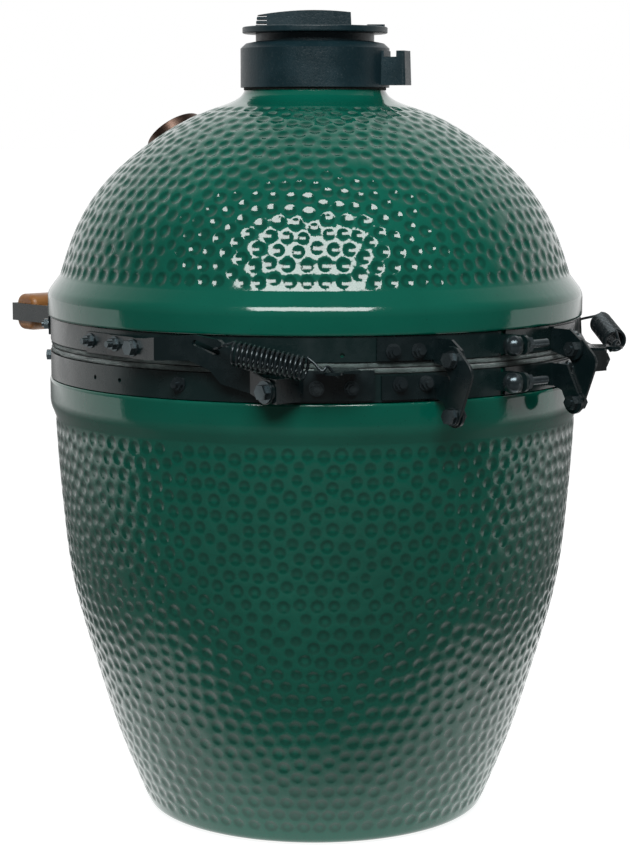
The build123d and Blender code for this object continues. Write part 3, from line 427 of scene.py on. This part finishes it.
class DimpledFace:
    """A turned face that carries pressed dimples. It is laid flat by angle and by the height v
    that keeps angles true, meshed there, and wrapped back with each dimple sunk along the normal."""

    def __init__(self, profile, seed, rings):
        self.rng = np.random.default_rng(seed)
        self.rings = rings
        self.r, self.z = np.array(profile).T
        step = np.hypot(np.diff(self.r), np.diff(self.z))
        self.s = np.concatenate([[0], np.cumsum(step)])
        self.v = np.concatenate([[0], np.cumsum(2 * step / (self.r[:-1] + self.r[1:]))])
        self.out_r = np.gradient(self.z, self.s)
        self.out_z = -np.gradient(self.r, self.s)

    def wrap(self, angle, v, sink=0.0):
        r = np.interp(v, self.v, self.r) - sink * np.interp(v, self.v, self.out_r)
        z = np.interp(v, self.v, self.z) - sink * np.interp(v, self.v, self.out_z)
        return np.stack([r * np.cos(angle), r * np.sin(angle), z], axis=-1)

    def centres(self, pitch, clear_low, clear_high):
        """Staggered rows with jitter, then pushed apart so that no two dimples crowd."""
        row_step = pitch * math.sqrt(3) / 2
        usable = self.s[-1] - clear_low - clear_high
        rows = int(usable / row_step) + 1
        angles, heights = [], []
        for row in range(rows):
            s = clear_low + usable * row / (rows - 1)
            r = np.interp(s, self.s, self.r)
            count = round(TURN * r / pitch)
            shift = self.rng.uniform(0, 1)
            spread = self.rng.normal(0, DIMPLE_JITTER * pitch, (2, count))
            angles.append((np.arange(count) + shift) * TURN / count + spread[0] / r)
            heights.append(s + spread[1])
        angle = np.concatenate(angles)
        s = np.concatenate(heights)
        for _ in range(6):
            v = np.interp(s, self.s, self.v)
            where = self.wrap(angle, v)
            tree = tree_of(where)
            r = np.interp(v, self.v, self.r)
            push_a = np.zeros(len(angle))
            push_s = np.zeros(len(angle))
            for i, p in enumerate(where):
                for _, j, gap in tree.find_range(p, pitch * 1.15):
                    if j == i:
                        continue
                    share = 0.28 * (pitch * 1.15 - gap) / max(gap, 1.0)
                    turn = (angle[i] - angle[j] + math.pi) % TURN - math.pi
                    push_a[i] += share * turn
                    push_s[i] += share * (s[i] - s[j])
            angle = angle + push_a
            s = np.clip(s + push_s, clear_low, self.s[-1] - clear_high)
        v = np.interp(s, self.s, self.v)
        where = self.wrap(angle, v)
        tree = tree_of(where)
        nearest = np.array([tree.find_n(p, 2)[1][2] for p in where])
        return angle % TURN, v, nearest

    def mesh(self, pitch, depth, clear_low, clear_high):
        """Points, sinks and triangles. The first two loops of SEGMENTS are the face's edges."""
        angle, v, nearest = self.centres(pitch, clear_low, clear_high)
        radius = np.clip(nearest * 0.485, 0.32 * pitch, 0.47 * pitch)
        radius = radius * self.rng.uniform(0.94, 1.0, len(angle))
        deep = depth * (radius / (0.44 * pitch)) ** 1.5 * self.rng.uniform(0.8, 1.15, len(angle))
        flat_r = radius / np.interp(v, self.v, self.r)
        loop = np.arange(SEGMENTS) * TURN / SEGMENTS
        spots = [np.stack([loop, np.full(SEGMENTS, edge)], 1) for edge in (0.0, self.v[-1])]
        sinks = [np.zeros(SEGMENTS), np.zeros(SEGMENTS)]
        for share, count in self.rings:
            turn = self.rng.uniform(0, TURN, len(angle))
            for k in range(count):
                way = turn + TURN * k / count
                reach = flat_r * share
                spots.append(np.stack([angle + reach * np.cos(way), v + reach * np.sin(way)], 1))
                sinks.append(deep * (1 - share**2) ** 1.2)
        flat = np.concatenate(spots)
        sink = np.concatenate(sinks)
        inner = slice(2 * SEGMENTS, None)
        flat[inner, 1] = np.clip(flat[inner, 1], 1e-3, self.v[-1] - 1e-3)
        flat[:, 0] %= TURN
        return flat, sink, self.triangles(flat)

    def triangles(self, flat):
        """Delaunay triangles of the flat points, with a strip repeated past each end of the turn."""
        edge = 0.2
        low = np.nonzero(flat[:, 0] < edge)[0]
        high = np.nonzero(flat[:, 0] > TURN - edge)[0]
        own = np.concatenate([np.arange(len(flat)), low, high])
        around = np.concatenate([flat, flat[low] + (TURN, 0), flat[high] - (TURN, 0)])
        points, _, faces, came_from, _, _ = delaunay_2d_cdt(
            [Vector(p) for p in around], [], [], 0, 1e-9,
        )
        source = np.array([own[c[0]] for c in came_from])
        place = np.array(points)
        faces = np.array(faces)
        middle = place[faces][:, :, 0].mean(1)
        kept = source[faces[(middle >= 0) & (middle < TURN)]]
        first, second, third = kept.T
        return kept[(first != second) & (second != third) & (first != third)]


def turned_shell(name, face, walls, pitch, depth, clear_low, clear_high):
    """A closed shell: the dimpled face plus plain turned walls. A wall is (first loop, path, last loop,
    clay), where a loop is 0 or 1 for the dimpled face's edges, or None for the axis."""
    flat, sink, triangles = face.mesh(pitch, depth, clear_low, clear_high)
    points = face.wrap(flat[:, 0], flat[:, 1], sink).tolist()
    faces = triangles.tolist()
    clay = [False] * len(faces)
    loop_angle = np.arange(SEGMENTS) * TURN / SEGMENTS
    edge_loop = [list(range(SEGMENTS)), list(range(SEGMENTS, 2 * SEGMENTS))]
    for first, path, last, is_clay in walls:
        before = edge_loop[first]
        for i, (r, z) in enumerate(path[1:], 1):
            ends = i == len(path) - 1
            if ends and last is None:
                points.append([0, 0, z])
                top = len(points) - 1
                for k in range(SEGMENTS):
                    faces.append([before[k], before[(k + 1) % SEGMENTS], top])
                clay += [is_clay(r, z)] * SEGMENTS
                continue
            if ends:
                here = edge_loop[last]
            else:
                here = list(range(len(points), len(points) + SEGMENTS))
                level = np.full(SEGMENTS, z)
                ring = np.stack([r * np.cos(loop_angle), r * np.sin(loop_angle), level], 1)
                points += ring.tolist()
            for k in range(SEGMENTS):
                on = (k + 1) % SEGMENTS
                faces.append([before[k], before[on], here[on], here[k]])
            clay += [is_clay(r, z)] * SEGMENTS
            before = here
    mesh = bpy.data.meshes.new(name)
    mesh.from_pydata((np.array(points) * MM).tolist(), [], faces)
    mesh.materials.append(GLAZE)
    mesh.materials.append(CLAY)
    mesh.polygons.foreach_set("material_index", [int(c) for c in clay])
    pit = mesh.attributes.new("pit", "FLOAT", "POINT")
    share = np.zeros(len(points))
    share[:len(sink)] = sink / depth
    pit.data.foreach_set("value", share)
    face_outwards(mesh)
    return put_in_scene(name, mesh)


# ---------------------------------------------------------------- ceramic shells
def glazed_dome():
    top_r, top_z = 97, 721
    outline = [
        (260.1, 552), (246.2, 592), (229.4, 624), (202.8, 656), (163, 688), (122.5, 711.5),
        (top_r, top_z),
    ]
    rings = (0.0, 1), (0.36, 6), (0.64, 9), (0.86, 12), (1.0, 14)
    face = DimpledFace(curve_through(outline, 220), 11, rings)
    inside = curve_through(
        [(82, 702), (112, 691), (148, 669), (185, 638), (212, 604), (230, 568), (241, 530)],
        24,
    )
    neck = rounded([
        (top_r, top_z, 0), (84, 725.6, 7), (75, 731, 6), (71.5, 737, 2.5), (70, 744, 1),
        (70, 768, 4), (50, 768, 4), (50, 712, 3), (82, 702, 0),
    ])
    skirt = rounded([
        (241, 530, 0), (245, 487, 1), (267, 487, 2), (267, 511, 1), (273, 511, 3.4), (273, 535, 6),
        (262.5, 549, 4), (260.1, 552, 0),
    ], 7)
    path = neck + [tuple(p) for p in inside[1:]] + skirt[1:]

    def bare(r, z):
        return r < 69 or (z < 700 and r < 246)

    dome = turned_shell("glazed_dome", face, [(1, path, 0, bare)], DIMPLE_PITCH, DIMPLE_DEPTH, 8.5, 9)
    smooth(dome)
    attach(dome, "dome")
    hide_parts("dome_shell")
    return dome


def cut_with_box(shell, operation, low, high):
    """Joins or cuts a box, given by its low and high corners in millimetres."""
    bpy.ops.object.select_all(action="DESELECT")
    middle = [(a + b) / 2 * MM for a, b in zip(low, high)]
    size = [(b - a) * MM for a, b in zip(low, high)]
    bpy.ops.mesh.primitive_cube_add(size=1, location=middle, scale=size)
    tool = bpy.context.object
    tool.data.materials.append(GLAZE)
    choose(shell)
    cut = shell.modifiers.new("cut", "BOOLEAN")
    cut.operation = operation
    cut.solver = "MANIFOLD"
    cut.object = tool
    bpy.ops.object.modifier_apply(modifier=cut.name)
    bpy.data.objects.remove(tool)


def glazed_base():
    outline = [
        (178, 14), (204.5, 80), (229.5, 160), (250.4, 240), (259.4, 312), (264.5, 376), (266.3, 409),
    ]
    rings = (0.0, 1), (0.44, 6), (0.78, 9), (1.0, 12)
    face = DimpledFace(curve_through(outline, 300), 23, rings)
    inside = curve_through(
        [(243, 420), (236, 312), (226, 240), (205, 160), (181, 90), (160, 46)], 12,
    )
    rim = rounded([
        (266.3, 409, 0), (267.6, 412.6, 4), (271.5, 423, 6), (271.5, 449, 3.6), (267, 449, 1),
        (267, 476, 2.5), (245, 476, 2), (243, 420, 0),
    ], 7)
    floor = rounded([(160, 46, 0), (140, 30, 8), (60, 30, 0), (0, 30, 0)])
    foot = rounded([(178, 14, 0), (173, 3.2, 9), (163, 0, 6), (150, 0, 0), (0, 0, 0)])
    inner = rim + [tuple(p) for p in inside[1:]] + floor[1:]

    def bare(r, z):
        return (r < 262 and z > 25) or (z > 449 and r < 266)

    walls = [(1, inner, None, bare), (0, foot, None, lambda r, z: z < 0.5)]
    base = turned_shell("glazed_base", face, walls, DIMPLE_PITCH, BASE_DIMPLE_DEPTH, 7, 8)
    seat, half_pad, pad_low, pad_high = 200, 78, 43, 109
    half_passage, passage_low, passage_high = 42, 55, 97
    cut_with_box(base, "UNION", (-half_pad, -seat, pad_low), (half_pad, -seat + 24, pad_high))
    cut_with_box(base, "DIFFERENCE", (-half_pad, -seat - 60, pad_low), (half_pad, -seat, pad_high))
    passage = (-half_passage, -seat - 5, passage_low), (half_passage, -seat + 60, passage_high)
    cut_with_box(base, "DIFFERENCE", *passage)
    smooth(base)
    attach(base, "base")
    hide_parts("base_shell")
    return base


# ---------------------------------------------------------------- felt
FELT_BULGE = 2.2
FELT_IN_R = 246.0
FELT_SQUARENESS = 0.3


def felt_ring(name, node, body, seed):
    """A pressed strip of felt that bulges and wanders a little between the rims."""
    low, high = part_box(node)
    out_r = high.x / MM + FELT_BULGE
    in_r = FELT_IN_R
    z0, z1 = low.z / MM, high.z / MM
    middle, half = (z0 + z1) / 2, (z1 - z0) / 2
    rounds = 20
    around = 720
    points, faces = [], []
    for i in range(around):
        angle = TURN * i / around
        for k in range(rounds):
            way = TURN * k / rounds
            soft = abs(math.cos(way)) ** FELT_SQUARENESS * math.copysign(1, math.cos(way))
            tall = abs(math.sin(way)) ** FELT_SQUARENESS * math.copysign(1, math.sin(way))
            r = (out_r + in_r) / 2 + (out_r - in_r) / 2 * soft
            z = middle + half * tall
            spot = Vector((math.cos(angle) * 14, math.sin(angle) * 14, z * 0.3 + seed))
            wander = noise.noise(spot) * 0.9 + noise.noise(spot * 5) * 0.5
            if soft > 0:
                r += wander * soft
            points.append((r * math.cos(angle) * MM, r * math.sin(angle) * MM, z * MM))
    for i in range(around):
        for k in range(rounds):
            here, there = i * rounds, (i + 1) % around * rounds
            on = (k + 1) % rounds
            faces.append((here + k, there + k, there + on, here + on))
    mesh = bpy.data.meshes.new(name)
    mesh.from_pydata(points, [], faces)
    mesh.materials.append(FELT)
    ring = put_in_scene(name, mesh)
    face_outwards(mesh)
    smooth(ring, 60)
    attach(ring, body)
    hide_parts(node)


# ---------------------------------------------------------------- springs
SPRING_FRONT = Vector((246.0, 171.0, 498.0))
SPRING_REAR = Vector((207.5, 226.0, 485.0))
SPRING_ANCHOR = Vector((187.5, 241.8, 477.5))
HOOK_TIP = Vector((243.0, 143.0, 496.5))
COIL_R = 10.6
WIRE_R = 1.4
COIL_TURNS = 15


def hinge_spring(side, node):
    """Close-wound tension spring with a hook at each end."""
    run = SPRING_REAR - SPRING_FRONT
    axis = run.normalized()
    across = axis.cross(Vector((0, 0, 1))).normalized()
    up = across.cross(axis)
    steps = 28
    path = []
    for i in range(COIL_TURNS * steps + 1):
        way = TURN * i / steps
        share = i / (COIL_TURNS * steps)
        out = up * math.cos(way) + across * math.sin(way)
        path.append(SPRING_FRONT + run * share + out * COIL_R)
    front = [
        HOOK_TIP + Vector((-11, -3.2, -0.5)),
        HOOK_TIP + Vector((-3, -3.4, 0)),
        HOOK_TIP + Vector((3.2, -0.6, 0.6)),
        HOOK_TIP + Vector((3.6, 7, 1.5)),
        SPRING_FRONT - axis * 9,
        SPRING_FRONT - axis * 4.5 + up * 5,
        SPRING_FRONT - axis * 1.8 + up * 9.3,
    ]
    rear = [
        SPRING_REAR + axis * 1.8 + up * 9.3,
        SPRING_REAR + axis * 4.5 + up * 5,
        SPRING_REAR + axis * 9 + up * 0.8,
        SPRING_REAR + axis * 16 + up * 3.5,
        SPRING_ANCHOR + Vector((1.5, -0.8, 10.0)),
        SPRING_ANCHOR + Vector((0.3, 0, 5.0)),
        SPRING_ANCHOR + Vector((-0.8, 0, 0.9)),
        SPRING_ANCHOR + Vector((-5.5, 0, 0)),
    ]

    def eased(points, count=36):
        flat = [curve_through([(p[a], p[b]) for p in points], count) for a, b in ((0, 1), (2, 2))]
        return [Vector((x, y, z)) for (x, y), (z, _) in zip(*flat)]

    whole = eased(front)[:-1] + path + eased(rear)[1:]
    line = bpy.data.curves.new("spring_line", "CURVE")
    line.dimensions = "3D"
    line.bevel_depth = WIRE_R * MM
    line.bevel_resolution = 3
    line.use_fill_caps = True
    strand = line.splines.new("POLY")
    strand.points.add(len(whole) - 1)
    for point, p in zip(strand.points, whole):
        point.co = (side * p.x * MM, p.y * MM, p.z * MM, 1)
    spring = put_in_scene("coil_spring_" + ("right" if side > 0 else "left"), line)
    choose(spring)
    bpy.ops.object.convert(target="MESH")
    spring = bpy.context.object
    spring.data.materials.clear()
    spring.data.materials.append(WIRE)
    smooth(spring, 60)
    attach(spring, "hinge_springs")
    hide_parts(node)
    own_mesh(spring)


# ---------------------------------------------------------------- stage, light and camera
LOOK_AT = Vector((0, 0, 0.392))
VIEW_AZIMUTH = 139.0
VIEW_ELEVATION = 7.5
VIEW_DISTANCE = 2.394
LENS = 97.4
KEY_ELEVATION = 42
KEY_DISTANCE = 2.6
KEY_SIZE = 2.0, 0.95
KEY_POWER = 74
FLOOR_R = 60


def out_from(azimuth, elevation):
    a, e = math.radians(azimuth), math.radians(elevation)
    return Vector((math.sin(a) * math.cos(e), -math.cos(a) * math.cos(e), math.sin(e)))


def softbox(name, azimuth, elevation, distance, width, height, power):
    light = bpy.data.lights.new(name, "AREA")
    light.shape = "RECTANGLE"
    light.size = width
    light.size_y = height
    light.energy = power
    lamp = put_in_scene(name, light)
    away = out_from(azimuth, elevation)
    lamp.location = LOOK_AT + away * distance
    lamp.rotation_euler = away.to_track_quat("Z", "Y").to_euler()


def studio():
    """A white floor and backdrop behind the grill, dark towards the camera, and one large softbox."""
    bpy.ops.object.select_all(action="DESELECT")
    bpy.ops.mesh.primitive_circle_add(
        vertices=96, radius=FLOOR_R, fill_type="NGON", location=(0, 0, -0.0005),
    )
    floor = bpy.context.object
    floor.name = "studio_floor"
    paper = Finish("studio_paper", roughness=0.9)
    front = paper.along(out_from(VIEW_AZIMUTH, 0))
    aside = paper.along(out_from(VIEW_AZIMUTH + 90, 0))
    aside = paper.node("ShaderNodeMath", {"operation": "ABSOLUTE"}, {0: aside})
    aside = aside + front * 0.14
    dark = paper.between(front, 0.2, 0.34)
    beside = paper.between(aside, 0.37, 0.6) * paper.between(aside, 1.1, 2.4, 0.9, 0.0)
    dark = dark + beside - dark * beside
    paper.set("Base Color", paper.mix(dark, (0.3, 0.3, 0.3), (0.15, 0.15, 0.15)))
    paper.set("Emission Color", paper.mix(dark, (1.0, 1.0, 1.0), (0.0, 0.0, 0.0)))
    paper.set("Emission Strength", 0.9)
    floor.data.materials.append(paper.material)
    world = bpy.data.worlds.new("studio")
    bpy.context.scene.world = world
    world.use_nodes = True
    tree = world.node_tree
    sky = tree.nodes["Background"]
    sky.inputs["Color"].default_value = (1, 1, 1, 1)
    way = tree.nodes.new("ShaderNodeTexCoord")
    toward = tree.nodes.new("ShaderNodeVectorMath")
    toward.operation = "DOT_PRODUCT"
    toward.inputs[1].default_value = -out_from(VIEW_AZIMUTH, 0)
    glow = tree.nodes.new("ShaderNodeMapRange")
    glow.interpolation_type = "SMOOTHSTEP"
    glow.inputs["From Min"].default_value = -0.15
    glow.inputs["From Max"].default_value = 0.88
    glow.inputs["To Min"].default_value = 0.1
    glow.inputs["To Max"].default_value = 1.0
    tree.links.new(way.outputs["Generated"], toward.inputs[0])
    tree.links.new(toward.outputs["Value"], glow.inputs["Value"])
    tree.links.new(glow.outputs["Result"], sky.inputs["Strength"])
    softbox("key_softbox", VIEW_AZIMUTH - 2, KEY_ELEVATION, KEY_DISTANCE, *KEY_SIZE, KEY_POWER)


def camera():
    lens = bpy.data.cameras.new("studio_camera")
    lens.lens = LENS
    lens.sensor_width = 36
    seen = put_in_scene("studio_camera", lens)
    away = out_from(VIEW_AZIMUTH, VIEW_ELEVATION)
    seen.location = LOOK_AT + away * VIEW_DISTANCE
    seen.rotation_euler = away.to_track_quat("Z", "Y").to_euler()
    bpy.context.scene.camera = seen
    bpy.context.scene.view_settings.view_transform = "Standard"


dress_cad_nodes()
glazed_dome()
glazed_base()
felt_ring("dome_felt", "upper_gasket", "dome", 3.0)
felt_ring("base_felt", "lower_gasket", "base", 9.0)
hinge_spring(1, "hinge_spring_right")
hinge_spring(-1, "hinge_spring_left")
studio()
camera()
